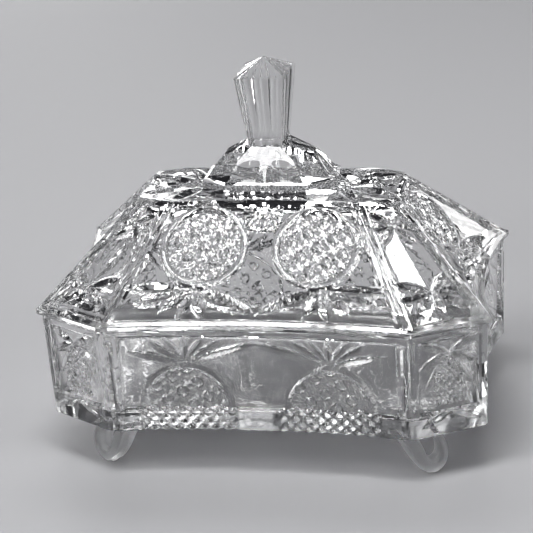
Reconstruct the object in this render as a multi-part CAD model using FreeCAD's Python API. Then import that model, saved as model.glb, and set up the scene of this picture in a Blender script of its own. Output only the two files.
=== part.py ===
"""Footed pressed-glass trinket box with a lift-off lid.

The box is two pieces of clear glass. The base is a straight-sided bowl on four scroll
feet. The lid is a hipped roof with a stepped collar and a tapered square knob. Seen from
above both are a rectangle with cut corners, and all four sides bow gently inwards.

Frame: millimetres, +Z up, origin on the resting plane under the middle of the box,
+X along the long side, -Y towards the front.
"""

import FreeCAD, Part
import math
import os
from collections import namedtuple
from FreeCAD import Vector

# A cut-corner rectangle whose four sides bow inwards.
# half_x, half_y: the outermost half sizes, reached at the cut corners.
# long_half, short_half: half the length of the long sides and of the short sides.
# long_bow, short_bow: how far the middle of each side stands in from its two ends.
Plan = namedtuple("Plan", "half_x half_y long_half short_half long_bow short_bow")

# Heights
FOOT_HEIGHT = 18.0
WALL_HEIGHT = 39.5
PLATEAU_RISE = 35.0
COLLAR_RISE = 16.8
KNOB_RISE = 25.5
KNOB_CAP_RISE = 5.3

PARTING_Z = FOOT_HEIGHT + WALL_HEIGHT
PLATEAU_Z = PARTING_Z + PLATEAU_RISE
COLLAR_TOP_Z = PLATEAU_Z + COLLAR_RISE
KNOB_EDGE_Z = COLLAR_TOP_Z + KNOB_RISE
KNOB_APEX_Z = KNOB_EDGE_Z + KNOB_CAP_RISE

# Base
BASE_RIM = Plan(79.4, 51.9, 54.4, 38.2, 3.6, 5.2)
BASE_DRAFT = 0.8
BASE_WALL = 4.0
BASE_FLOOR = 5.0
CAVITY_DRAFT = 1.6
PANEL_DEPTH = 1.0
RIM_BAND = 3.0
FOOT_BAND = 7.5

# Lid
LID_OVERHANG = 1.2
LID_EDGE = 2.2
PLATEAU = Plan(46.5, 17.9, 33.9, 12.8, 2.4, 1.0)
LIP_CLEARANCE = 1.0
LIP_THICKNESS = 2.5
LIP_DEPTH = 2.5
CEILING = 4.5
CEILING_RISE_AT_LIP = 4.5

# Collar between the plateau and the knob: straight-sided octagons, lowest first
COLLAR_FOOT = Plan(24.2, 14.2, 15.0, 7.2, 0, 0)
COLLAR_BAND_TOP = Plan(23.6, 13.6, 14.6, 7.0, 0, 0)
COLLAR_LEDGE = Plan(22.2, 12.4, 13.8, 6.4, 0, 0)
COLLAR_SHOULDER = Plan(16.2, 8.9, 9.8, 4.6, 0, 0)
COLLAR_CROWN = Plan(7.4, 6.9, 5.2, 4.8, 0, 0)
COLLAR_BAND_HEIGHT = 4.8
COLLAR_SHOULDER_HEIGHT = 12.4

# Knob: a square that widens upwards, capped with a low pyramid
KNOB_FOOT_HALF = 6.2
KNOB_EDGE_HALF = 9.3
KNOB_TIP_HALF = 0.15

# Feet: one open scroll loop under each cut corner, drawn across the corner
FOOT_SETBACK = 3.2
FOOT_LEAN = 1.8
FOOT_DEPTH_TOP = 12.0
FOOT_DEPTH_BOTTOM = 7.0
FOOT_PAD_TRIM = 0.35
FOOT_SHIFT = 8.0


def inset(plan, distance):
    """The same plan with every side moved inwards by a distance (outwards when negative)."""
    run = plan.half_x - plan.long_half
    rise = plan.half_y - plan.short_half
    length = math.hypot(run, rise)
    normal_x = rise / length
    normal_y = run / length
    corner_line = normal_x * plan.half_x + normal_y * plan.short_half - distance
    half_x = plan.half_x - distance
    half_y = plan.half_y - distance
    long_half = (corner_line - normal_y * half_y) / normal_x
    short_half = (corner_line - normal_x * half_x) / normal_y
    return plan._replace(half_x=half_x, half_y=half_y, long_half=long_half, short_half=short_half)


def side(start, end, bow_point):
    """One side of a plan: a straight edge, or an arc through the bowed middle."""
    middle = (start + end) * 0.5
    if (bow_point - middle).Length < 1e-6:
        return Part.makeLine(start, end)
    return Part.Arc(start, bow_point, end).toShape()


def outline(plan, z):
    """The closed wire of a plan at height z, anticlockwise from the front-left corner."""
    x, y = plan.half_x, plan.half_y
    a, b = plan.long_half, plan.short_half
    corners = [(-a, -y), (a, -y), (x, -b), (x, b), (a, y), (-a, y), (-x, b), (-x, -b)]
    points = [Vector(px, py, z) for px, py in corners]
    bowed = {
        0: Vector(0, -y + plan.long_bow, z),
        2: Vector(x - plan.short_bow, 0, z),
        4: Vector(0, y - plan.long_bow, z),
        6: Vector(-x + plan.short_bow, 0, z),
    }
    edges = []
    for i, start in enumerate(points):
        end = points[(i + 1) % len(points)]
        edges.append(side(start, end, bowed.get(i, (start + end) * 0.5)))
    return Part.Wire(edges)


def loft(*sections):
    """A solid with ruled sides through (plan, height) sections."""
    wires = [outline(plan, z) for plan, z in sections]
    return Part.makeLoft(wires, True, True)


def base_bowl():
    """The straight-sided bowl: a wall with a rim band and a foot band, and an open cavity."""
    foot_plan = inset(BASE_RIM, BASE_DRAFT)
    body = loft((inset(foot_plan, PANEL_DEPTH), FOOT_HEIGHT), (inset(BASE_RIM, PANEL_DEPTH), PARTING_Z))
    foot_band = loft((foot_plan, FOOT_HEIGHT), (foot_plan, FOOT_HEIGHT + FOOT_BAND))
    rim_band = loft((BASE_RIM, PARTING_Z - RIM_BAND), (BASE_RIM, PARTING_Z))
    cavity_top = inset(BASE_RIM, BASE_WALL)
    cavity_floor = inset(cavity_top, CAVITY_DRAFT)
    cavity = loft((cavity_floor, FOOT_HEIGHT + BASE_FLOOR), (cavity_top, PARTING_Z))
    return body.fuse([foot_band, rim_band]).cut(cavity).removeSplitter()


def foot_profile():
    """The scroll loop's face: across the corner along local X, height along local Z.

    Local X points outwards along the box's length; the loop is open at the top, where its
    two legs meet the underside of the bowl.
    """
    top = FOOT_HEIGHT
    outer_points = [(-10.5, top), (-7.4, 12.6), (-4.6, 7.0), (-0.8, 1.9), (3.6, -FOOT_PAD_TRIM),
                    (7.9, 2.3), (9.5, 7.0), (8.7, 11.6), (6.6, 15.4), (5.0, top)]
    inner_points = [(2.0, top), (4.4, 14.0), (5.9, 9.6), (6.0, 6.6), (4.2, 5.2),
                    (2.0, 6.4), (0.2, 11.0), (-1.8, 15.2), (-4.0, top)]
    outer = Part.BSplineCurve()
    outer.interpolate([Vector(x, 0, z) for x, z in outer_points])
    inner = Part.BSplineCurve()
    inner.interpolate([Vector(x, 0, z) for x, z in inner_points])
    outer_leg_top = Part.makeLine(Vector(5.0, 0, top), Vector(2.0, 0, top))
    inner_leg_top = Part.makeLine(Vector(-4.0, 0, top), Vector(-10.5, 0, top))
    wire = Part.Wire([outer.toShape(), outer_leg_top, inner.toShape(), inner_leg_top])
    return Part.Face(wire)


def foot_envelope():
    """The block that tapers a foot's depth: deep under the bowl and narrower at the floor.

    Local Y runs from the cut corner's face inwards.
    """
    reach = 40.0
    top = FOOT_HEIGHT
    front_bottom = FOOT_SETBACK + FOOT_LEAN
    section = Part.makePolygon([
        Vector(-reach, FOOT_SETBACK, top),
        Vector(-reach, FOOT_SETBACK + FOOT_DEPTH_TOP, top),
        Vector(-reach, front_bottom + FOOT_DEPTH_BOTTOM, 0),
        Vector(-reach, front_bottom, 0),
        Vector(-reach, FOOT_SETBACK, top),
    ])
    return Part.Face(section).extrude(Vector(2 * reach, 0, 0))


def scroll_foot(x_sign, y_sign):
    """One foot in its corner; the other three are its mirror images."""
    depth = FOOT_SETBACK + FOOT_DEPTH_TOP
    loop = foot_profile().extrude(Vector(0, depth, 0))
    foot = loop.common(foot_envelope())
    plan = inset(BASE_RIM, BASE_DRAFT)
    run = plan.half_x - plan.long_half
    rise = plan.half_y - plan.short_half
    angle = math.degrees(math.atan2(rise, run))
    middle = Vector((plan.half_x + plan.long_half) / 2, -(plan.half_y + plan.short_half) / 2, 0)
    along = Vector(run, rise, 0).normalize()
    foot.rotate(Vector(0, 0, 0), Vector(0, 0, 1), angle)
    foot.translate(middle - along * FOOT_SHIFT)
    if x_sign < 0:
        foot = foot.mirror(Vector(0, 0, 0), Vector(1, 0, 0))
    if y_sign > 0:
        foot = foot.mirror(Vector(0, 0, 0), Vector(0, 1, 0))
    return foot


def lid_shell():
    """The hipped roof: a thin edge band, sloping sides, a flat plateau and a hollow inside."""
    edge = inset(BASE_RIM, -LID_OVERHANG)
    band = loft((edge, PARTING_Z), (edge, PARTING_Z + LID_EDGE))
    roof = loft((edge, PARTING_Z + LID_EDGE), (PLATEAU, PLATEAU_Z))
    lip_outside = inset(BASE_RIM, BASE_WALL + LIP_CLEARANCE)
    lip_inside = inset(lip_outside, LIP_THICKNESS)
    lip_z = PARTING_Z - LIP_DEPTH
    ceiling_edge_z = PARTING_Z + CEILING_RISE_AT_LIP
    lip = loft((lip_outside, lip_z), (lip_outside, PARTING_Z + LID_EDGE))
    skirt = loft((lip_inside, lip_z), (lip_inside, ceiling_edge_z))
    vault = loft((lip_inside, ceiling_edge_z), (PLATEAU, PLATEAU_Z - CEILING))
    return band.fuse([roof, lip]).cut(skirt.fuse(vault)).removeSplitter()


def knob_collar():
    """The stepped octagonal collar: an upright band, a ledge, sloping sides and a low crown."""
    band_top = PLATEAU_Z + COLLAR_BAND_HEIGHT
    shoulder = PLATEAU_Z + COLLAR_SHOULDER_HEIGHT
    band = loft((COLLAR_FOOT, PLATEAU_Z), (COLLAR_BAND_TOP, band_top))
    slope = loft((COLLAR_LEDGE, band_top), (COLLAR_SHOULDER, shoulder))
    crown = loft((COLLAR_SHOULDER, shoulder), (COLLAR_CROWN, COLLAR_TOP_Z))
    return band.fuse([slope, crown]).removeSplitter()


def square(half, z):
    """A closed square wire centred on the box's axis."""
    points = [Vector(-half, -half, z), Vector(half, -half, z), Vector(half, half, z), Vector(-half, half, z)]
    return Part.makePolygon(points + points[:1])


def knob():
    """The tapered knob with its low pyramid cap."""
    stem = Part.makeLoft([square(KNOB_FOOT_HALF, COLLAR_TOP_Z), square(KNOB_EDGE_HALF, KNOB_EDGE_Z)], True, True)
    cap = Part.makeLoft([square(KNOB_EDGE_HALF, KNOB_EDGE_Z), square(KNOB_TIP_HALF, KNOB_APEX_Z)], True, True)
    return stem.fuse(cap).removeSplitter()


def build():
    """Every sub-part by node name."""
    return {
        "base_bowl": base_bowl(),
        "foot_front_left": scroll_foot(-1, -1),
        "foot_front_right": scroll_foot(1, -1),
        "foot_back_left": scroll_foot(-1, 1),
        "foot_back_right": scroll_foot(1, 1),
        "lid_shell": lid_shell(),
        "knob_collar": knob_collar(),
        "knob": knob(),
    }


os.makedirs("parts", exist_ok=True)
for node, shape in build().items():
    box = shape.BoundBox
    print(f"{node}: solids {len(shape.Solids)}, valid {shape.isValid()}, volume {shape.Volume / 1000:.1f} cm3, "
          f"z {box.ZMin:.2f} to {box.ZMax:.2f}, x {box.XMin:.1f} to {box.XMax:.1f}")
    shape.exportStep(os.path.join("parts", node + ".step"))
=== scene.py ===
import math
from collections import namedtuple

import bmesh
import bpy
import numpy as np
from mathutils import Matrix, Vector


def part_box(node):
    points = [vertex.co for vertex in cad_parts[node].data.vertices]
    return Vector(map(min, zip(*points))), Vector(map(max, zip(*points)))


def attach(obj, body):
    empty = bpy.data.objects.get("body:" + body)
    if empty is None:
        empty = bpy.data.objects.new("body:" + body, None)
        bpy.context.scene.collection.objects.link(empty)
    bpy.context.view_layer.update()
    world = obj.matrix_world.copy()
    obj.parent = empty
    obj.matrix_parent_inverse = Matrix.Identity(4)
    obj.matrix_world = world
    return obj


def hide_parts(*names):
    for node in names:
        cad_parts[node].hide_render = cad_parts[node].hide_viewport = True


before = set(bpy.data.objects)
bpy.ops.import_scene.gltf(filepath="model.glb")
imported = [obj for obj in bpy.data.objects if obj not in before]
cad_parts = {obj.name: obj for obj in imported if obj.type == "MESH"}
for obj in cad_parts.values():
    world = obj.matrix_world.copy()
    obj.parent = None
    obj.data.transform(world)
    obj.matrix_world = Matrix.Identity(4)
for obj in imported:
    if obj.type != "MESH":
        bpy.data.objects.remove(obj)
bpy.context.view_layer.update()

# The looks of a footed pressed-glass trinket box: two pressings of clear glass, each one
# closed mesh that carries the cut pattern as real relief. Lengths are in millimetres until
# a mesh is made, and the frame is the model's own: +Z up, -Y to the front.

MM = 0.001

# ---------------------------------------------------------------- sizes, from the frame

Plan = namedtuple("Plan", "half_x half_y long_half short_half long_bow short_bow")


def frame_box(node):
    """A node's lowest and highest corners in millimetres."""
    low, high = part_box(node)
    return np.array(low) / MM, np.array(high) / MM


bowl_low, bowl_high = frame_box("base_bowl")
lid_low, lid_high = frame_box("lid_shell")
collar_low, collar_high = frame_box("knob_collar")
knob_low, knob_high = frame_box("knob")

FOOT_HEIGHT = bowl_low[2]
PARTING_Z = bowl_high[2]
PLATEAU_Z = collar_low[2]
COLLAR_TOP_Z = knob_low[2]
KNOB_APEX_Z = knob_high[2]
KNOB_EDGE_Z = KNOB_APEX_Z - 5.3

BASE_RIM = Plan(bowl_high[0], bowl_high[1], 54.4, 38.2, 3.6, 5.2)
BASE_DRAFT = 0.8
BASE_WALL = 4.0
BASE_FLOOR = 5.0
CAVITY_DRAFT = 1.6
LID_OVERHANG = lid_high[0] - bowl_high[0]
LID_EDGE = 2.2
PLATEAU = Plan(46.5, 17.9, 33.9, 12.8, 2.4, 1.0)
LIP_OFFSET = BASE_WALL + 1.0
LIP_THICKNESS = 2.5
CEILING = 4.5
SEAT_GAP = 0.1          # the polished rims stand this far from the parting plane

COLLAR_FOOT = Plan(collar_high[0], collar_high[1], 15.0, 7.2, 0, 0)
COLLAR_BAND_TOP = Plan(23.6, 13.6, 14.6, 7.0, 0, 0)
COLLAR_LEDGE = Plan(22.2, 12.4, 13.8, 6.4, 0, 0)
COLLAR_SHOULDER = Plan(16.2, 8.9, 9.8, 4.6, 0, 0)
COLLAR_CROWN = Plan(7.4, 6.9, 5.2, 4.8, 0, 0)
COLLAR_BAND_HEIGHT = 4.8
COLLAR_SHOULDER_HEIGHT = 12.4

KNOB_FOOT_HALF = 6.2
KNOB_EDGE_HALF = knob_high[0]
KNOB_EDGE_BEVEL = 0.35
KNOB_FLUTES = 3
KNOB_FLUTE_DEPTH = 0.9

WALL_HEIGHT = PARTING_Z - FOOT_HEIGHT


def inset(plan, distance):
    """The same plan with every side moved inwards by a distance (outwards when negative)."""
    run = plan.half_x - plan.long_half
    rise = plan.half_y - plan.short_half
    length = math.hypot(run, rise)
    normal_x = rise / length
    normal_y = run / length
    corner_line = normal_x * plan.half_x + normal_y * plan.short_half - distance
    half_x = plan.half_x - distance
    half_y = plan.half_y - distance
    long_half = (corner_line - normal_y * half_y) / normal_x
    short_half = (corner_line - normal_x * half_x) / normal_y
    return plan._replace(half_x=half_x, half_y=half_y, long_half=long_half, short_half=short_half)


# ------------------------------------------------------------- rings round a cut-corner plan

# The eight sides run anticlockwise from the front left corner. Even sides bow inwards.
SIDE_KINDS = ("long", "corner", "short", "corner") * 2
# The way in from each straight side. The cut corners neither bow nor carry flutes.
SIDE_INWARD = np.array([(0, 1), (0, 0), (-1, 0), (0, 0), (0, -1), (0, 0), (1, 0), (0, 0)])


def crowded(count, spans, crowding=2.3):
    """Shares from 0 up to but not including 1, closer together within the given spans."""
    place = np.linspace(0, 1, 2001)
    density = np.ones_like(place)
    for start, end in spans:
        density[(place > start) & (place < end)] = crowding
    walked = np.concatenate([[0], np.cumsum(density[:-1])])
    return np.interp(np.arange(count) / count * walked[-1], walked, place)


class Stations:
    """Where the columns of a skin stand: a side number and a share of that side for each."""

    def __init__(self, long, short, corner):
        shares = {"long": long, "short": short, "corner": corner}
        self.side = np.concatenate([np.full(len(shares[k]), i) for i, k in enumerate(SIDE_KINDS)])
        self.share = np.concatenate([shares[k] for k in SIDE_KINDS])

    def halved(self):
        """Every second column."""
        other = object.__new__(Stations)
        other.side = self.side[::2]
        other.share = self.share[::2]
        return other


def corners(plan):
    """The eight corners of a plan, anticlockwise from the front left."""
    x, y, a, b = plan.half_x, plan.half_y, plan.long_half, plan.short_half
    return np.array([(-a, -y), (a, -y), (x, -b), (x, b), (a, y), (-a, y), (-x, b), (-x, -b)])


def ring(plan, z, stations):
    """The points of a plan at height z, one for each station."""
    points = corners(plan)
    start = points[stations.side]
    end = points[(stations.side + 1) % 8]
    share = stations.share[:, None]
    bows = np.array([plan.long_bow, 0, plan.short_bow, 0] * 2)[stations.side]
    inward = SIDE_INWARD[stations.side]
    swell = (4 * stations.share * (1 - stations.share) * bows)[:, None]
    flat = start + (end - start) * share + inward * swell
    return np.column_stack([flat, np.full(len(flat), float(z))])


def side_widths(plan, stations):
    """The straight length of each station's side."""
    points = corners(plan)
    lengths = np.linalg.norm(np.roll(points, -1, axis=0) - points, axis=1)
    return lengths[stations.side]


# ---------------------------------------------------------------------- relief primitives

def ramp(x, start, end):
    """0 up to start and 1 from end on, with a smooth rise between."""
    share = np.clip((x - start) / (end - start), 0, 1)
    return share * share * (3 - 2 * share)


LEAF_SLOPE = 0.9
LEAF_FULLNESS = 0.8     # below 1, a leaf stays wide for longer before its points


def leaf(cut, u, v, base, tip, width):
    """Deepens cut by one pointed leaf: two flat flanks that meet in a sharp valley."""
    run = tip[0] - base[0]
    rise = tip[1] - base[1]
    length = math.hypot(run, rise)
    share = ((u - base[0]) * run + (v - base[1]) * rise) / length ** 2
    across = np.abs((u - base[0]) * rise - (v - base[1]) * run) / length
    half_width = width / 2 * np.clip(4 * share * (1 - share), 0, 1) ** LEAF_FULLNESS
    inside = (share > 0) & (share < 1)
    np.maximum(cut, np.where(inside, LEAF_SLOPE * (half_width - across), 0), out=cut)


def fan(cut, u, v, centre, leaves, mirror=1):
    """A spray of leaves from one centre; each leaf is (run, rise, width)."""
    for run, rise, width in leaves:
        tip = (centre[0] + mirror * run, centre[1] + rise)
        leaf(cut, u, v, centre, tip, width)


BUTTON_PITCH = 6.6
BUTTON_RADIUS = 2.0
BUTTON_BEVEL = 1.05     # the width and also the height of a button's bevel
MOAT = 0.45             # the width of the step from a button's foot up to its star
STAR_POINTS = 8
STAR_HEIGHT = 0.3
STAR_RIDGE = 0.28
PEAK_START = 3.4
PEAK_END = 4.5
PEAK_HEIGHT = 0.9
FIELD_TURN = math.radians(33)
FIELD_DEPTH = 1.4


def crystal_field(u, v):
    """Heights below the surface: flat round buttons with a bevel, each in a star of facets."""
    x = (u * math.cos(FIELD_TURN) + v * math.sin(FIELD_TURN)) / BUTTON_PITCH
    y = (v * math.cos(FIELD_TURN) - u * math.sin(FIELD_TURN)) / BUTTON_PITCH
    dx = (x - np.round(x)) * BUTTON_PITCH
    dy = (y - np.round(y)) * BUTTON_PITCH
    from_button = np.hypot(dx, dy)
    turn = np.arctan2(dy, dx) / (2 * math.pi) * STAR_POINTS
    facet = np.abs(turn - np.round(turn)) * 2
    reach = np.clip((from_button - BUTTON_RADIUS) / MOAT, 0, 1)
    star = reach * (STAR_HEIGHT + STAR_RIDGE * (1 - facet))
    peak = PEAK_HEIGHT * ramp(from_button, PEAK_START, PEAK_END)
    button = np.clip(BUTTON_RADIUS - from_button, 0, BUTTON_BEVEL)
    return np.where(from_button < BUTTON_RADIUS, button, np.maximum(star, peak)) - FIELD_DEPTH


def bead_rows(u, v, pitch):
    """Heights from 0 to 1: staggered rows of rounded diamonds, pitch apart along a row."""
    x = (u + v) / pitch
    y = (u - v) / pitch
    fx = np.abs(x - np.round(x)) * 2
    fy = np.abs(y - np.round(y)) * 2
    return np.cos(math.pi / 2 * fx) * np.cos(math.pi / 2 * fy)


MEDALLION_RING = 2.7
MEDALLION_RING_FOOT = -1.15


def medallion(height, u, v, centre, radius):
    """A round boss: a half-round ring about a crystal field."""
    du = u - centre[0]
    dv = v - centre[1]
    from_centre = np.hypot(du, dv)
    across = (from_centre - (radius - MEDALLION_RING / 2)) / (MEDALLION_RING / 2)
    bead = np.sqrt(np.clip(1 - across ** 2, 0, 1))
    height = np.where(from_centre < radius - MEDALLION_RING, crystal_field(du, dv), height)
    return np.where(np.abs(across) < 1, MEDALLION_RING_FOOT * (1 - bead), height)


# ------------------------------------------------------------------ relief of the base walls

WINDOW_DEPTH = 1.1
REED_DEPTH = 0.28
REED_PITCH = 0.9
REED_START = 36.4
REED_FULL = 37.0
EDGE_BEVEL_WIDTH = 1.4
EDGE_BEVEL_DROP = 0.5
POST_GROOVE_PLACE = 2.8
POST_GROOVE_DEPTH = 0.55


def rim_reeds(z):
    """Fine level lines along the rim band."""
    wave = 1 - np.cos(2 * math.pi * (WALL_HEIGHT - z) / REED_PITCH)
    return -REED_DEPTH / 2 * wave * ramp(z, REED_START, REED_FULL)


def edge_round(edge):
    """A flat narrow bevel along a panel's ends."""
    return -EDGE_BEVEL_DROP * np.clip(1 - edge / EDGE_BEVEL_WIDTH, 0, 1)


ARCH_SPRING = 9.0
ARCH_RISE = 16.9
ARCH_BORDER = 2.6
ARCH_BORDER_DROP = 0.1
ARCH_BORDER_SLOPE = 0.8
ARCH_BEAD_PITCH = 4.4
ARCH_BEAD_DEPTH = 0.95
ARCH_BEAD_GAP = 0.6         # the beads stop this far below the spring
ARCH_BEAD_OVERHANG = 0.8    # and reach this far past the border


def arch(height, u, z, centre, half_width):
    """A beaded arch: a mitred border, a crystal field and rounded diamonds at its foot."""
    du = u - centre
    above = np.maximum(z - ARCH_SPRING, 0)
    size = np.hypot(du / half_width, above / ARCH_RISE)
    inward = (1 - size) * half_width
    ridge = -ARCH_BORDER_DROP - ARCH_BORDER_SLOPE * np.abs(inward - ARCH_BORDER / 2)
    beads = -ARCH_BEAD_DEPTH + ARCH_BEAD_DEPTH * bead_rows(du, z, ARCH_BEAD_PITCH)
    low = z < ARCH_SPRING - ARCH_BEAD_GAP
    inside = np.where(low, beads, crystal_field(du, z))
    height = np.where(inward > ARCH_BORDER, inside, height)
    height = np.where((inward > 0) & (inward <= ARCH_BORDER) & ~low, ridge, height)
    return np.where((inward > -ARCH_BEAD_OVERHANG) & (inward <= ARCH_BORDER) & low, beads, height)


# Each fan lists its leaves as (sideways, upward, width) from the fan's centre.
LONG_WALL_ARCH = 25.3
LONG_ARCH_HALF = 16.6
SHORT_ARCH_HALF = 18.0
WALL_FAN_Z = 25.9
LONG_WALL_FAN = ((0, 9.6, 3.2), (-7.2, 9.6, 3.0), (7.2, 9.6, 3.0), (-13.4, 9.0, 2.8),
                 (13.4, 9.0, 2.8), (-25.3, 7.8, 3.4), (20.0, 4.6, 3.4))
SHORT_WALL_FAN = ((0, 9.6, 3.2), (-7.2, 9.6, 3.0), (7.2, 9.6, 3.0), (-13.4, 9.0, 2.8),
                  (13.4, 9.0, 2.8), (-23.0, 6.0, 3.4), (23.0, 6.0, 3.4))
LONG_POST_LEAF = 51.6
SHORT_POST_LEAF = 35.4
POST_LEAF_FOOT = 8.5
POST_LEAF_TOP = 25.0
POST_LEAF_WIDTH = 1.9


def post_groove(edge, z):
    """A narrow groove down each corner post."""
    upright = ramp(z, 3.5, 5.5) * ramp(WALL_HEIGHT - z, 3.5, 5.5)
    return -POST_GROOVE_DEPTH * np.clip(1 - np.abs(edge - POST_GROOVE_PLACE) / 1.0, 0, 1) * upright


def post_leaves(cut, u, z, place):
    """An upright leaf beside each corner post."""
    for side in (-1, 1):
        foot = (side * place, POST_LEAF_FOOT)
        top = (side * place, POST_LEAF_TOP)
        leaf(cut, u, z, foot, top, POST_LEAF_WIDTH)


def wall_window(edge, z):
    """The recessed window of a wall panel, inside its posts and bands."""
    shape = ramp(edge, 4.4, 5.8) * ramp(z, 7.0, 8.8) * ramp(WALL_HEIGHT - z, 2.6, 4.0)
    return -WINDOW_DEPTH * shape


def wall_panel(edge, z):
    """What the four straight walls share: window, bevelled ends, rim reeds and post grooves."""
    return wall_window(edge, z) + edge_round(edge) + rim_reeds(z) + post_groove(edge, z)


def long_wall(u, z, half):
    """Relief of the front and back walls."""
    height = wall_panel(half - np.abs(u), z)
    cut = np.zeros_like(u)
    for side in (-1, 1):
        height = arch(height, u, z, side * LONG_WALL_ARCH, LONG_ARCH_HALF)
        fan(cut, u, z, (side * LONG_WALL_ARCH, WALL_FAN_Z), LONG_WALL_FAN, mirror=side)
    post_leaves(cut, u, z, LONG_POST_LEAF)
    return height - cut


def short_wall(u, z, half):
    """Relief of the two end walls."""
    height = arch(wall_panel(half - np.abs(u), z), u, z, 0, SHORT_ARCH_HALF)
    cut = np.zeros_like(u)
    fan(cut, u, z, (0, WALL_FAN_Z), SHORT_WALL_FAN)
    post_leaves(cut, u, z, SHORT_POST_LEAF)
    return height - cut


CORNER_ARCH_HALF = 5.8
CORNER_ARCH_FOOT = 11.0
CORNER_ARCH_SPRING = 14.0
CORNER_ARCH_RISE = 15.0
CORNER_BEAD_PITCH = 3.2
CORNER_WALL_FAN = ((-10.6, 4.4, 3.2), (10.6, 4.4, 3.2), (-10.4, -5.0, 3.6), (10.4, -5.0, 3.6),
                   (-9.0, -14.0, 2.8), (9.0, -14.0, 2.8))


def corner_wall(u, z, half):
    """Relief of the cut-corner walls."""
    edge = half - np.abs(u)
    window = ramp(edge, 2.4, 3.4) * ramp(z, 8.0, 9.2) * ramp(WALL_HEIGHT - z, 3.0, 4.2)
    height = -WINDOW_DEPTH * window + edge_round(edge) + rim_reeds(z)
    above = np.maximum(z - CORNER_ARCH_SPRING, 0)
    size = np.hypot(u / CORNER_ARCH_HALF, above / CORNER_ARCH_RISE)
    beads = -1.0 + 0.9 * bead_rows(u, z, CORNER_BEAD_PITCH)
    height = np.where((size < 1) & (z > CORNER_ARCH_FOOT), beads, height)
    cut = np.zeros_like(u)
    fan(cut, u, z, (0, 30.6), CORNER_WALL_FAN)
    for side in (-1, 1):
        leaf(cut, u, z, (0, 9.0), (side * 11.5, 3.5), 3.0)
    return height - cut


WALL_RELIEF = {"long": long_wall, "short": short_wall, "corner": corner_wall}

# ------------------------------------------------------------------------ relief of the roof

HIP_BAR = 3.6
HIP_GROOVE_PLACE = HIP_BAR * 0.55
HIP_GROOVE_HALF_WIDTH = 0.7
HIP_GROOVE_DEPTH = 0.45
ROOF_WINDOW_DEPTH = 0.95


def roof_window(edge, v, length):
    """The recessed window of a roof panel, inside its hip bars and bands."""
    shape = ramp(edge, HIP_BAR, HIP_BAR + 1.0) * ramp(v, 1.6, 3.0) * ramp(length - v, 2.0, 3.2)
    groove = ramp(1 - np.abs(edge - HIP_GROOVE_PLACE) / HIP_GROOVE_HALF_WIDTH, 0, 1)
    return -ROOF_WINDOW_DEPTH * shape - HIP_GROOVE_DEPTH * groove + edge_round(edge)


MEDALLION_RADIUS = 15.6
LONG_ROOF_STAR = ((25.0, 0.6, 4.0), (21.0, -5.0, 3.2), (11.0, -8.6, 4.2), (4.0, -11.4, 4.4),
                  (-5.0, -11.0, 4.4), (-22.4, -9.8, 5.0))
SHORT_ROOF_FAN = ((24.0, -7.0, 4.6), (12.0, -8.4, 4.2), (4.4, -10.2, 4.2), (-4.4, -10.2, 4.2),
                  (-12.0, -8.4, 4.2), (-24.0, -7.0, 4.6))
ROSETTE_V = 43.0
ROSETTE_TOP = 44.5
ROSETTE_RADIUS = 7.0
ROSETTE_EYE = 2.5
ROSETTE_PETALS = 9


def rosette(height, u, v):
    """A small half flower under the plateau: a domed eye in a fringe of petals."""
    from_eye = np.hypot(u, v - ROSETTE_V)
    petals = np.abs(np.cos(ROSETTE_PETALS * np.arctan2(v - ROSETTE_V, u)))
    fringe = -0.95 + 0.8 * petals * ramp(from_eye, 2.8, 4.5)
    height = np.where((from_eye < ROSETTE_RADIUS) & (v < ROSETTE_TOP), fringe, height)
    return np.where(from_eye < ROSETTE_EYE, -0.25 - 0.06 * from_eye ** 2, height)


def long_roof(u, v, half, length):
    """Relief of the front and back slopes."""
    height = rosette(roof_window(half - np.abs(u), v, length), u, v)
    cut = np.zeros_like(u)
    for side in (-1, 1):
        height = medallion(height, u, v, (side * 19.8, 29.9), MEDALLION_RADIUS)
        fan(cut, u, v, (side * 22.4, 14.2), LONG_ROOF_STAR, mirror=side)
    return height - cut


def short_roof(u, v, half, length):
    """Relief of the two end slopes."""
    height = roof_window(half - np.abs(u), v, length)
    height = medallion(height, u, v, (0, 27.0), MEDALLION_RADIUS - 1.6)
    cut = np.zeros_like(u)
    fan(cut, u, v, (0, 12.6), SHORT_ROOF_FAN)
    return height - cut


CORNER_LOW_STAR = ((-11.5, 7.4, 3.6), (10.5, 8.4, 3.6), (-12.0, -0.4, 3.4), (12.0, 1.4, 3.4),
                   (-10.9, -9.2, 3.8), (12.6, -8.0, 3.8), (0.4, -9.5, 3.2))
CORNER_HIGH_STAR = ((-5.4, 6.2, 2.8), (5.4, 6.2, 2.8), (-8.6, -0.8, 2.8), (8.6, -2.6, 2.8),
                    (-6.4, -7.0, 2.8), (5.4, -8.0, 2.6))


def corner_roof(u, v, half, length):
    """Relief of the cut-corner slopes: two leaf stars on a panel that is pressed in to a V."""
    edge = half - np.abs(u)
    shape = ramp(edge, 2.2, 3.0) * ramp(v, 2.0, 3.2) * ramp(length - v, 2.0, 3.2)
    depth = 0.25 + 0.16 * np.abs(u)
    height = -depth * shape + edge_round(edge)
    cut = np.zeros_like(u)
    fan(cut, u, v, (0, 13.4), CORNER_LOW_STAR)
    fan(cut, u, v, (0, 42.0), CORNER_HIGH_STAR)
    return height - cut


ROOF_RELIEF = {"long": long_roof, "short": short_roof, "corner": corner_roof}


PLATEAU_FAN = ((7.0, 15.6, 4.2), (7.0, -15.6, 4.2), (20.0, 9.6, 4.6), (20.0, -9.6, 4.6),
               (20.5, 0, 4.0))


def plateau_relief(x, y):
    """Leaf cuts that spread from each end of the collar over the plateau."""
    cut = np.zeros_like(x)
    for side in (-1, 1):
        fan(cut, x, y, (side * 25.0, 0), PLATEAU_FAN, mirror=side)
    return -cut


# ------------------------------------------------------------------------------ skin builder

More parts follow.
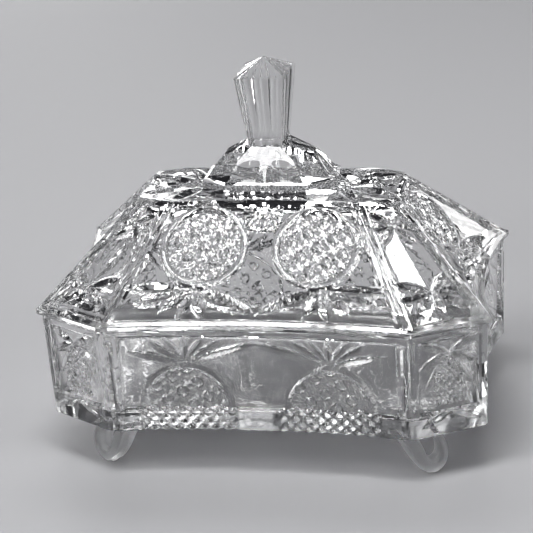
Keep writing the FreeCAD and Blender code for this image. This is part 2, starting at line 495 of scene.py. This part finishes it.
class Skin:
    """Collects rings of points and the faces between them, then makes one closed mesh."""

    def __init__(self):
        self.points = []
        self.faces = []
        self.count = 0

    def add(self, points):
        """Adds a ring of points and gives its indices."""
        self.points.append(np.asarray(points, dtype=float))
        index = np.arange(self.count, self.count + len(points))
        self.count += len(points)
        return index

    def join(self, lower, upper):
        """Quads between two rings of the same number of points."""
        lower_next = np.roll(lower, -1)
        upper_next = np.roll(upper, -1)
        quads = np.column_stack([lower, lower_next, upper_next, upper])
        self.faces.extend(quads.tolist())

    def join_halved(self, fine, coarse):
        """Five-sided faces from a ring to one with half as many points."""
        start = fine[0::2]
        middle = fine[1::2]
        end = np.roll(start, -1)
        coarse_next = np.roll(coarse, -1)
        self.faces.extend(np.column_stack([start, middle, end, coarse_next, coarse]).tolist())

    def stack(self, last, rings):
        """Joins a run of rings onto the ring called last, and gives the final one."""
        for points in rings:
            index = self.add(points)
            if len(index) == len(last):
                self.join(last, index)
            else:
                self.join_halved(last, index)
            last = index
        return last

    def cap(self, index):
        """Closes a flat ring with one face."""
        self.faces.append(index.tolist())

    def mesh(self, name):
        """The closed mesh, in metres."""
        mesh = bpy.data.meshes.new(name)
        points = np.concatenate(self.points) * MM
        mesh.from_pydata(points.tolist(), [], self.faces)
        return mesh


def surface_grid(low_plan, low_z, high_plan, high_z, rows, stations):
    """Points, sideways and upward places, and half widths of a ruled skin between two plans."""
    low = ring(low_plan, low_z, stations)
    high = ring(high_plan, high_z, stations)
    share = np.append(rows, 1.0)[:, None]
    points = low[None] + (high - low)[None] * share[..., None]
    widths = side_widths(low_plan, stations) * (1 - share) + side_widths(high_plan, stations) * share
    sideways = (stations.share - 0.5) * widths
    middle_length = {}
    for side, kind in enumerate(SIDE_KINDS[:3]):
        columns = np.flatnonzero(stations.side == side)
        column = columns[len(columns) // 2]
        middle_length[kind] = np.linalg.norm(high[column] - low[column])
    lengths = np.array([middle_length[SIDE_KINDS[number]] for number in stations.side])
    return points, sideways, share * lengths, widths / 2, lengths


def outward_normals(points):
    """Unit normals of a grid whose columns close round and whose rows go up."""
    along = np.roll(points, -1, axis=1) - np.roll(points, 1, axis=1)
    up = np.gradient(points, axis=0)
    normals = np.cross(along, up)
    return normals / np.linalg.norm(normals, axis=2, keepdims=True)


def carved(points, heights):
    """The grid with its relief pushed out along the normals."""
    return points + outward_normals(points) * heights[..., None]


def panel_heights(stations, relief, *fields):
    """Evaluates each side's relief on its own columns."""
    heights = np.zeros_like(fields[0])
    for side, kind in enumerate(SIDE_KINDS):
        columns = stations.side == side
        heights[:, columns] = relief[kind](*[f[:, columns] for f in fields])
    return heights


# ----------------------------------------------------------------------------------- base

BASE_STATIONS = Stations(long=crowded(216, ((0, 0.02), (0.16, 0.46), (0.54, 0.84), (0.98, 1))),
                         short=crowded(132, ((0, 0.03), (0.25, 0.75), (0.97, 1))),
                         corner=crowded(56, ((0.2, 0.8),), 1.4))
WALL_ROWS = crowded(84, ((0.0, 0.74),), 1.3)


def wall_rings():
    """The outside of the bowl, bottom to top, with its pattern."""
    foot_plan = inset(BASE_RIM, BASE_DRAFT)
    points, sideways, upward, halves, _ = surface_grid(
        foot_plan, FOOT_HEIGHT + 0.4, BASE_RIM, PARTING_Z - SEAT_GAP - 0.4, WALL_ROWS, BASE_STATIONS)
    heights = panel_heights(BASE_STATIONS, WALL_RELIEF, sideways, upward, halves)
    return carved(points, heights)


UNDER_BEVEL = 0.3


def pulled_in(points, distance, z):
    """A ring moved inwards along its own level normals and set at height z."""
    along = np.roll(points, -1, axis=0) - np.roll(points, 1, axis=0)
    inward = np.column_stack([-along[:, 1], along[:, 0]])
    inward /= np.linalg.norm(inward, axis=1, keepdims=True)
    return np.column_stack([points[:, :2] + inward * distance, np.full(len(points), z)])


def foot_curves(steps):
    """Outer and inner outlines of a foot's scroll, as local (sideways, height) points."""
    top = FOOT_HEIGHT
    outer = np.array([(-10.5, top), (-7.4, 12.6), (-4.6, 7.0), (-0.8, 1.9), (3.6, -0.35),
                      (7.9, 2.3), (9.5, 7.0), (8.7, 11.6), (6.6, 15.4), (5.0, top)])
    inner = np.array([(-4.0, top), (-1.8, 15.2), (0.2, 11.0), (2.0, 6.4), (4.2, 5.2),
                      (6.0, 6.6), (5.9, 9.6), (4.4, 14.0), (2.0, top)])
    return smooth_line(outer, steps), smooth_line(inner, steps)


CURVE_SAMPLES = 24


def smooth_line(points, steps):
    """Evenly stepped points on a Catmull-Rom curve through the given points."""
    ends = np.vstack([2 * points[0] - points[1], points, 2 * points[-1] - points[-2]])
    fine = []
    for i in range(len(points) - 1):
        p0, p1, p2, p3 = ends[i:i + 4]
        bend = 2 * p0 - 5 * p1 + 4 * p2 - p3
        twist = 3 * p1 - p0 - 3 * p2 + p3
        for share in np.linspace(0, 1, CURVE_SAMPLES, endpoint=False):
            fine.append(0.5 * (2 * p1 + (p2 - p0) * share + bend * share ** 2 + twist * share ** 3))
    fine.append(points[-1])
    fine = np.array(fine)
    walked = np.concatenate([[0], np.cumsum(np.linalg.norm(np.diff(fine, axis=0), axis=1))])
    wanted = np.linspace(0, walked[-1], steps)
    return np.column_stack([np.interp(wanted, walked, fine[:, i]) for i in range(2)])


FOOT_SHIFT = 8.0
FOOT_STEPS = 56
FOOT_SECTION = 48
FOOT_FLUTES = 3
FLUTE_SHARE = 0.34
FOOT_SQUARENESS = 0.72      # 1 gives a round section, and less a squarer one
FOOT_SETBACK = 4.3
TOE_SETBACK = 0.9
TOE_DEPTH = 7.0
LEG_TOP_DEPTH = 10.9


def squared(wave):
    """A sine or cosine bulged towards a square wave."""
    return np.sign(wave) * np.abs(wave) ** FOOT_SQUARENESS


def foot_rings(x_sign, y_sign):
    """Rings along one scroll foot, from its inner leg's top to its outer leg's top.

    It is laid out under the front right corner and mirrored; -1 means left and front.
    """
    outer, inner = foot_curves(FOOT_STEPS)
    plan = inset(BASE_RIM, BASE_DRAFT)
    along = np.array([plan.half_x - plan.long_half, plan.half_y - plan.short_half])
    along = along / np.linalg.norm(along)
    inward = np.array([-along[1], along[0]])
    middle = np.array([plan.half_x + plan.long_half, -plan.half_y - plan.short_half]) / 2
    turn = np.linspace(0, 2 * math.pi, FOOT_SECTION, endpoint=False)
    thick = squared(np.cos(turn))
    deep = squared(np.sin(turn))
    flute = 1 - FLUTE_SHARE * (1 - np.cos(FOOT_FLUTES * math.pi * (deep + 1))) / 2
    rings = []
    for near, far in zip(inner, outer):
        centre = (near + far) / 2
        half = (far - near) / 2
        section = centre + thick[:, None] * half * flute[:, None]
        height = section[:, 1]
        share = np.clip(height / FOOT_HEIGHT, 0, 1)
        front = FOOT_SETBACK + TOE_SETBACK * (1 - share)
        depth = TOE_DEPTH + (LEG_TOP_DEPTH - TOE_DEPTH) * share
        inside = front + depth * (deep + 1) / 2
        flat = middle + along * (section[:, 0] - FOOT_SHIFT)[:, None] + inward * inside[:, None]
        x = flat[:, 0] * x_sign
        y = flat[:, 1] * -y_sign
        rings.append(np.column_stack([x, y, np.maximum(height, 0)]))
    rings[0][:, 2] = FOOT_HEIGHT
    rings[-1][:, 2] = FOOT_HEIGHT
    return rings


def rim_rings(top, stations, half, coarse):
    """The flat polished rim with its eased edges, from outside to inside."""
    return [ring(inset(BASE_RIM, 0.12), top - 0.12, stations),
            ring(inset(BASE_RIM, 0.4), top, stations),
            ring(inset(BASE_RIM, 1.6), top, half),
            ring(inset(BASE_RIM, BASE_WALL - 0.5), top, coarse),
            ring(inset(BASE_RIM, BASE_WALL - 0.15), top - 0.15, coarse),
            ring(inset(BASE_RIM, BASE_WALL), top - 0.5, coarse)]


CAVITY_FILLET = 3.0


def cavity_rings(top, stations):
    """The plain inside of the bowl, down to the fillet round its floor."""
    floor_z = FOOT_HEIGHT + BASE_FLOOR
    rings = []
    for share in np.linspace(0.1, 1, 12):
        z = top - 0.5 + (floor_z + CAVITY_FILLET - top + 0.5) * share
        rings.append(ring(inset(BASE_RIM, BASE_WALL + CAVITY_DRAFT * share), z, stations))
    for turn in np.linspace(math.pi / 12, math.pi / 2, 6):
        inwards = BASE_WALL + CAVITY_DRAFT + CAVITY_FILLET * (1 - math.cos(turn))
        z = floor_z + CAVITY_FILLET * (1 - math.sin(turn))
        rings.append(ring(inset(BASE_RIM, inwards), z, stations))
    return rings


def add_feet(skin):
    """Adds the four feet and gives the loops at the tops of their legs."""
    leg_tops = []
    for x_sign in (-1, 1):
        for y_sign in (-1, 1):
            rings = foot_rings(x_sign, y_sign)
            first = skin.add(rings[0])
            end = skin.stack(first, rings[1:])
            leg_tops += [first, end]
    return leg_tops


def base_piece():
    """The bowl with its feet: one closed pressing."""
    skin = Skin()
    half = BASE_STATIONS.halved()
    coarse = half.halved()
    top = PARTING_Z - SEAT_GAP
    walls = wall_rings()
    under_edge = skin.add(pulled_in(walls[0], UNDER_BEVEL, FOOT_HEIGHT))
    last = skin.stack(under_edge, list(walls))
    last = skin.stack(last, rim_rings(top, BASE_STATIONS, half, coarse))
    last = skin.stack(last, cavity_rings(top, coarse))
    skin.cap(last)
    leg_tops = add_feet(skin)
    mesh = skin.mesh("base_glass")
    close_underside(mesh, [under_edge] + leg_tops)
    return mesh


def close_underside(mesh, loops):
    """Fills the flat underside between its outer edge and the tops of the feet's legs."""
    bm = bmesh.new()
    bm.from_mesh(mesh)
    bm.verts.ensure_lookup_table()
    edges = []
    for loop in loops:
        for a, b in zip(loop, np.roll(loop, -1)):
            edges.append(bm.edges.get((bm.verts[int(a)], bm.verts[int(b)])))
    bmesh.ops.triangle_fill(bm, edges=edges, use_beauty=True, use_dissolve=False, normal=(0, 0, -1))
    bmesh.ops.recalc_face_normals(bm, faces=bm.faces)
    bm.to_mesh(mesh)
    bm.free()


# ------------------------------------------------------------------------------------ lid

LID_STATIONS = Stations(long=crowded(228, ((0, 0.02), (0.09, 0.46), (0.54, 0.91), (0.98, 1))),
                        short=crowded(128, ((0, 0.03), (0.2, 0.8), (0.97, 1))),
                        corner=crowded(40, ()))
ROOF_ROWS = crowded(80, ((0.26, 0.94),), 1.8)
PLATEAU_ROWS = 20


def roof_rings():
    """The sloping outside of the lid, from its edge band to the plateau, with its pattern."""
    edge = inset(BASE_RIM, -LID_OVERHANG)
    grid = surface_grid(edge, PARTING_Z + LID_EDGE, PLATEAU, PLATEAU_Z, ROOF_ROWS, LID_STATIONS)
    points, sideways, upward, halves, lengths = grid
    whole = np.broadcast_to(lengths, sideways.shape)
    heights = panel_heights(LID_STATIONS, ROOF_RELIEF, sideways, upward, halves, whole)
    heights[0] = 0
    return carved(points, heights)


def plateau_rings(stations):
    """The flat top round the collar, with its leaf cuts."""
    outer = ring(PLATEAU, PLATEAU_Z, stations)
    inner = ring(COLLAR_FOOT, PLATEAU_Z, stations)
    rings = []
    for share in np.linspace(0, 1, PLATEAU_ROWS)[1:]:
        points = outer + (inner - outer) * share
        points[:, 2] += plateau_relief(points[:, 0], points[:, 1])
        rings.append(points)
    rings[-1][:, 2] = PLATEAU_Z
    return rings


def between(low_plan, low_z, high_plan, high_z, steps, stations):
    """Plain rings from just above one plan up to another."""
    low = ring(low_plan, low_z, stations)
    high = ring(high_plan, high_z, stations)
    return [low + (high - low) * share for share in np.linspace(0, 1, steps + 1)[1:]]


def fluted(points, stations, count, depth):
    """A ring pressed in by a run of hollow flutes along each of its long and short sides."""
    place = stations.share * count
    across = 2 * (place - np.floor(place)) - 1
    hollow = depth * (1 - across ** 2)
    moved = points.copy()
    moved[:, :2] += SIDE_INWARD[stations.side] * hollow[:, None]
    return moved


def square_plan(half):
    """A square with finely bevelled edges, as a plan."""
    return Plan(half, half, half - KNOB_EDGE_BEVEL, half - KNOB_EDGE_BEVEL, 0, 0)


COLLAR_BAND_FLUTES = 6
COLLAR_BAND_FLUTE_DEPTH = 0.4
COLLAR_LEDGE_RISE = 0.2
COLLAR_SCALLOPS = 2
COLLAR_SCALLOP_DEPTH = 0.9


def collar_rings(stations):
    """The stepped collar: a fluted band, a ledge, a scalloped slope and a plain crown."""
    band_top = PLATEAU_Z + COLLAR_BAND_HEIGHT
    ledge_z = band_top + COLLAR_LEDGE_RISE
    shoulder_z = PLATEAU_Z + COLLAR_SHOULDER_HEIGHT
    band = between(COLLAR_FOOT, PLATEAU_Z, COLLAR_BAND_TOP, band_top, 5, stations)
    ledge = ring(COLLAR_LEDGE, ledge_z, stations)
    slope = between(COLLAR_LEDGE, ledge_z, COLLAR_SHOULDER, shoulder_z, 8, stations)
    crown = between(COLLAR_SHOULDER, shoulder_z, COLLAR_CROWN, COLLAR_TOP_Z, 5, stations)
    depths = np.linspace(COLLAR_SCALLOP_DEPTH, 0, len(slope))
    rings = [fluted(points, stations, COLLAR_BAND_FLUTES, COLLAR_BAND_FLUTE_DEPTH) for points in band]
    rings.append(fluted(ledge, stations, COLLAR_SCALLOPS, COLLAR_SCALLOP_DEPTH))
    for points, depth in zip(slope, depths):
        rings.append(fluted(points, stations, COLLAR_SCALLOPS, depth))
    return rings + crown


KNOB_TIP = Plan(0.3, 0.3, 0.25, 0.25, 0, 0)
KNOB_FOOT_RISE = 0.1


def knob_rings(stations):
    """The knob: a fluted shaft that widens upwards, and a low pyramid on top."""
    foot = square_plan(KNOB_FOOT_HALF)
    edge = square_plan(KNOB_EDGE_HALF)
    foot_z = COLLAR_TOP_Z + KNOB_FOOT_RISE
    shaft = between(foot, foot_z, edge, KNOB_EDGE_Z, 12, stations)
    cap = between(edge, KNOB_EDGE_Z, KNOB_TIP, KNOB_APEX_Z, 8, stations)
    shaft_depths = np.linspace(KNOB_FLUTE_DEPTH / 2, KNOB_FLUTE_DEPTH, len(shaft))
    cap_depths = np.linspace(KNOB_FLUTE_DEPTH, 0, len(cap) + 1)[1:]
    rings = [ring(foot, foot_z, stations)]
    for points, depth in zip(shaft + cap, np.concatenate([shaft_depths, cap_depths])):
        rings.append(fluted(points, stations, KNOB_FLUTES, depth))
    return rings


CEILING_EDGE_RISE = 4.5
CEILING_FLAT_INSET = 5.5


def lip_rings(lip_inside, ceiling_edge_z, half, coarse):
    """The underside of the lid's edge, then the lip, down its outside and up its inside."""
    under = PARTING_Z + SEAT_GAP
    outside = inset(BASE_RIM, LIP_OFFSET)
    foot_z = lid_low[2]
    return [ring(inset(outside, -0.7), under, half),
            ring(inset(outside, -0.4), under, coarse),
            ring(inset(outside, -0.1), under - 0.1, coarse),
            ring(outside, under - 0.5, coarse),
            ring(outside, foot_z + 0.5, coarse),
            ring(inset(outside, 0.15), foot_z + 0.15, coarse),
            ring(inset(outside, 0.5), foot_z, coarse),
            ring(inset(lip_inside, -0.5), foot_z, coarse),
            ring(inset(lip_inside, -0.15), foot_z + 0.15, coarse),
            ring(lip_inside, foot_z + 0.5, coarse),
            ring(lip_inside, ceiling_edge_z, coarse)]


def ceiling_rings(lip_inside, ceiling_edge_z, stations):
    """The hollow under the roof, eased where its slope meets the flat ceiling."""
    ceiling_z = PLATEAU_Z - CEILING
    vault = between(lip_inside, ceiling_edge_z, PLATEAU, ceiling_z, 14, stations)
    flat = ring(inset(PLATEAU, CEILING_FLAT_INSET), ceiling_z, stations)
    rings = vault[:-2]
    for share in np.linspace(0, 1, 8)[1:]:
        bend = vault[-3] * (1 - share) ** 2 + vault[-1] * 2 * share * (1 - share)
        rings.append(bend + flat * share ** 2)
    return rings


def face_outwards(mesh):
    """Turns every face of a closed mesh to the outside."""
    bm = bmesh.new()
    bm.from_mesh(mesh)
    bmesh.ops.recalc_face_normals(bm, faces=bm.faces)
    bm.to_mesh(mesh)
    bm.free()


def lid_piece():
    """The roof with its collar and knob: one closed pressing."""
    skin = Skin()
    stations = LID_STATIONS
    half = stations.halved()
    coarse = half.halved()
    edge = inset(BASE_RIM, -LID_OVERHANG)
    under = PARTING_Z + SEAT_GAP
    edge_low = skin.add(ring(inset(edge, 0.6), under, stations))
    band = [ring(inset(edge, 0.3), under + 0.1, stations),
            ring(inset(edge, 0.08), under + 0.35, stations),
            ring(edge, under + 0.8, stations),
            ring(edge, under + 1.4, stations)]
    last = skin.stack(edge_low, band + list(roof_rings()) + plateau_rings(half))
    last = skin.stack(last, collar_rings(coarse) + knob_rings(coarse))
    skin.cap(last)
    lip_inside = inset(inset(BASE_RIM, LIP_OFFSET), LIP_THICKNESS)
    ceiling_edge_z = PARTING_Z + CEILING_EDGE_RISE
    last = skin.stack(edge_low, lip_rings(lip_inside, ceiling_edge_z, half, coarse))
    last = skin.stack(last, ceiling_rings(lip_inside, ceiling_edge_z, coarse))
    skin.cap(last)
    mesh = skin.mesh("lid_glass")
    face_outwards(mesh)
    return mesh


# ------------------------------------------------------------------------------- material

def set_inputs(node, **values):
    """Sets a node's input values; an underscore in a name stands for a space."""
    for name, value in values.items():
        node.inputs[name.replace("_", " ")].default_value = value


def remap(tree, source, start, end, at_start, at_end):
    """A value that goes from at_start to at_end while source goes from start to end."""
    node = tree.nodes.new("ShaderNodeMapRange")
    set_inputs(node, From_Min=start, From_Max=end, To_Min=at_start, To_Max=at_end)
    tree.links.new(source, node.inputs["Value"])
    return node.outputs["Result"]


def larger(tree, first, second):
    """The larger of two values."""
    node = tree.nodes.new("ShaderNodeMath")
    node.operation = "MAXIMUM"
    tree.links.new(first, node.inputs[0])
    tree.links.new(second, node.inputs[1])
    return node.outputs["Value"]


def noise(tree, place, scale, detail):
    """Even noise through the glass."""
    node = tree.nodes.new("ShaderNodeTexNoise")
    set_inputs(node, Scale=scale, Detail=detail)
    tree.links.new(place, node.inputs["Vector"])
    return node.outputs["Fac"]


def distance_from(tree, value, level):
    """How far a value is from a level, either way."""
    offset = tree.nodes.new("ShaderNodeMath")
    offset.operation = "SUBTRACT"
    offset.inputs[1].default_value = level
    tree.links.new(value, offset.inputs[0])
    size = tree.nodes.new("ShaderNodeMath")
    size.operation = "ABSOLUTE"
    tree.links.new(offset.outputs["Value"], size.inputs[0])
    return size.outputs["Value"]


SMUDGE_ROUGHNESS = 0.035
SEAT_ROUGHNESS = 0.16
FEET_ROUGHNESS = 0.34
# Painted shade: how dark the glass is painted in its crevices, against the open glass and the
# underside.
PAINTED_CREVICE_SHADE = 0.32
OPEN_SHADE = 0.99
UNDERSIDE_SHADE = 0.97


def glass_roughness(tree, place, height):
    """Faint smudges, with a ground seat between base and lid and slightly frosted feet."""
    smudges = remap(tree, noise(tree, place, 55, 4), 0.45, 0.75, 0.0, SMUDGE_ROUGHNESS)
    from_seat = distance_from(tree, height, PARTING_Z * MM)
    seat = remap(tree, from_seat, 0.00015, 0.0004, SEAT_ROUGHNESS, 0.0)
    feet = remap(tree, height, 0.015, 0.019, FEET_ROUGHNESS, 0.0)
    return larger(tree, larger(tree, smudges, seat), feet)


def glass_painted_shade(tree, height):
    """Painted shade: the glass darkened in its crevices, above the underside of the bowl, which stays
    clear with the feet.
    """
    shape = tree.nodes.new("ShaderNodeNewGeometry")
    # Painted shade: concave places, found by pointiness, are darkened through the base colour.
    crevice = remap(tree, shape.outputs["Pointiness"], 0.43, 0.485, PAINTED_CREVICE_SHADE, OPEN_SHADE)
    under_low = (FOOT_HEIGHT + 0.3) * MM
    under_high = (FOOT_HEIGHT + 0.8) * MM
    under = remap(tree, height, under_low, under_high, UNDERSIDE_SHADE, 0.0)
    return larger(tree, crevice, under)


def glass_ripple(tree, place):
    """The faint waviness of a pressed surface."""
    bump = tree.nodes.new("ShaderNodeBump")
    set_inputs(bump, Strength=0.18, Distance=0.0006)
    tree.links.new(noise(tree, place, 130, 2), bump.inputs["Height"])
    return bump.outputs["Normal"]


def clear_glass():
    """Clear pressed glass: smudged, a little wavy, with painted shade in its crevices, frosted at the
    feet.
    """
    material = bpy.data.materials.new("clear_pressed_glass")
    material.use_nodes = True
    tree = material.node_tree
    nodes, links = tree.nodes, tree.links
    nodes.clear()
    output = nodes.new("ShaderNodeOutputMaterial")
    glass = nodes.new("ShaderNodeBsdfPrincipled")
    glass.inputs["Transmission Weight"].default_value = 1.0
    glass.inputs["IOR"].default_value = 1.53
    place = nodes.new("ShaderNodeTexCoord").outputs["Object"]
    split = nodes.new("ShaderNodeSeparateXYZ")
    links.new(place, split.inputs["Vector"])
    height = split.outputs["Z"]
    links.new(glass_roughness(tree, place, height), glass.inputs["Roughness"])
    # The base colour carries the painted shade in the crevices.
    links.new(glass_painted_shade(tree, height), glass.inputs["Base Color"])
    links.new(glass_ripple(tree, place), glass.inputs["Normal"])

    # Shadow rays pass partly through, in place of the light that real glass focuses.
    lamp_path = nodes.new("ShaderNodeLightPath")
    through = nodes.new("ShaderNodeBsdfTransparent")
    through.inputs["Color"].default_value = (0.14, 0.14, 0.145, 1)
    mix = nodes.new("ShaderNodeMixShader")
    links.new(lamp_path.outputs["Is Shadow Ray"], mix.inputs["Fac"])
    links.new(glass.outputs["BSDF"], mix.inputs[1])
    links.new(through.outputs["BSDF"], mix.inputs[2])
    links.new(mix.outputs["Shader"], output.inputs["Surface"])
    depth = nodes.new("ShaderNodeVolumeAbsorption")
    depth.inputs["Color"].default_value = (0.45, 0.46, 0.465, 1)
    depth.inputs["Density"].default_value = 8
    links.new(depth.outputs["Volume"], output.inputs["Volume"])
    return material


def place(mesh, body, nodes, material):
    """Makes a mesh into a piece that rides on its body and stands for its CAD nodes."""
    mesh.shade_smooth()
    mesh.set_sharp_from_angle(angle=math.radians(26))
    mesh.materials.append(material)
    piece = bpy.data.objects.new(mesh.name, mesh)
    bpy.context.scene.collection.objects.link(piece)
    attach(piece, body)
    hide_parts(*nodes)
    return piece


glass = clear_glass()
place(base_piece(), "base", ["base_bowl", "foot_front_left", "foot_front_right", "foot_back_left",
                             "foot_back_right"], glass)
place(lid_piece(), "lid", ["lid_shell", "knob_collar", "knob"], glass)

# ---------------------------------------------------------------------------------- stage


def pale_floor():
    """A plain pale floor."""
    mesh = bpy.data.meshes.new("floor")
    size = 4.0
    outline = [(-size, -size, 0), (size, -size, 0), (size, size, 0), (-size, size, 0)]
    mesh.from_pydata(outline, [], [(0, 1, 2, 3)])
    material = bpy.data.materials.new("pale_floor")
    material.use_nodes = True
    shader = material.node_tree.nodes["Principled BSDF"]
    shader.inputs["Base Color"].default_value = (0.39, 0.39, 0.40, 1)
    shader.inputs["Roughness"].default_value = 0.75
    mesh.materials.append(material)
    floor = bpy.data.objects.new("floor", mesh)
    bpy.context.scene.collection.objects.link(floor)


def softbox(name, spot, target, width, height, power):
    """A rectangular soft light that faces a point."""
    data = bpy.data.lights.new(name, "AREA")
    data.shape = "RECTANGLE"
    data.size = width
    data.size_y = height
    data.energy = power
    lamp = bpy.data.objects.new(name, data)
    lamp.visible_camera = False
    lamp.location = spot
    lamp.rotation_euler = (Vector(target) - Vector(spot)).to_track_quat("-Z", "Y").to_euler()
    bpy.context.scene.collection.objects.link(lamp)


def broad_sun(name, direction, angle, strength):
    """A wide even light from one direction, given as a vector towards the light."""
    data = bpy.data.lights.new(name, "SUN")
    data.angle = math.radians(angle)
    data.energy = strength
    lamp = bpy.data.objects.new(name, data)
    lamp.rotation_euler = (-Vector(direction)).to_track_quat("-Z", "Y").to_euler()
    bpy.context.scene.collection.objects.link(lamp)


LIGHT_TARGET = (0, 0, 0.06)
# Each softbox: its name, its place in metres, its width and height in metres, and its watts.
SOFTBOXES = (
    ("fill_light", (1.25, -0.5, 0.55), 0.45, 0.8, 3.6),
    ("front_light", (-0.35, -1.15, 0.72), 0.5, 0.25, 3.2),
    ("back_left", (-0.55, 1.1, 0.50), 0.35, 0.75, 3.0),
    ("back_right", (0.8, 1.05, 0.50), 0.25, 0.7, 2.2),
    ("top_light", (0.05, -0.29, 1.05), 0.40, 0.26, 5.6),
    ("rear_top_light", (-0.1, 0.45, 1.0), 0.5, 0.3, 2.0),
)


def studio():
    """Soft lights over and around the box, and a dim plain surround."""
    broad_sun("key_light", (-0.75, -0.7, 1.0), 20, 0.95)
    for name, spot, width, height, power in SOFTBOXES:
        softbox(name, spot, LIGHT_TARGET, width, height, power)
    world = bpy.data.worlds.new("surround")
    bpy.context.scene.world = world
    world.use_nodes = True
    background = world.node_tree.nodes["Background"]
    background.inputs["Color"].default_value = (0.10, 0.10, 0.11, 1)
    background.inputs["Strength"].default_value = 0.35
    scene = bpy.context.scene
    scene.view_settings.view_transform = "Standard"
    scene.view_settings.look = "High Contrast"
    scene.view_settings.exposure = -0.1
    scene.cycles.max_bounces = 24
    scene.cycles.transmission_bounces = 24
    scene.cycles.glossy_bounces = 16
    scene.cycles.transparent_max_bounces = 24


CAMERA_TURNS = (-12.86, 22.92, -4.32)           # yaw, pitch and roll in degrees
CAMERA_OFFSET = (0.00464, 0.00275, 0.6586)      # from camera to box: right, down and forward
CAMERA_LENS = 121.6
CAMERA_SENSOR = 36


def camera():
    """The camera, from the side and height that the box is looked at from."""
    yaw, pitch, roll = (math.radians(turn) for turn in CAMERA_TURNS)
    axes = Matrix.Rotation(roll, 3, "Z") @ Matrix((
        (1, 0, 0),
        (0, -math.sin(pitch), -math.cos(pitch)),
        (0, math.cos(pitch), -math.sin(pitch)),
    )) @ Matrix.Rotation(yaw, 3, "Z")
    right, down, forward = axes
    spot = -(axes.transposed() @ Vector(CAMERA_OFFSET))
    spot.z += PARTING_Z * MM
    facing = Matrix((right, -down, -forward)).transposed()
    data = bpy.data.cameras.new("camera")
    data.lens = CAMERA_LENS
    data.sensor_width = CAMERA_SENSOR
    view = bpy.data.objects.new("camera", data)
    view.matrix_world = Matrix.Translation(spot) @ facing.to_4x4()
    bpy.context.scene.collection.objects.link(view)
    bpy.context.scene.camera = view


pale_floor()
studio()
camera()
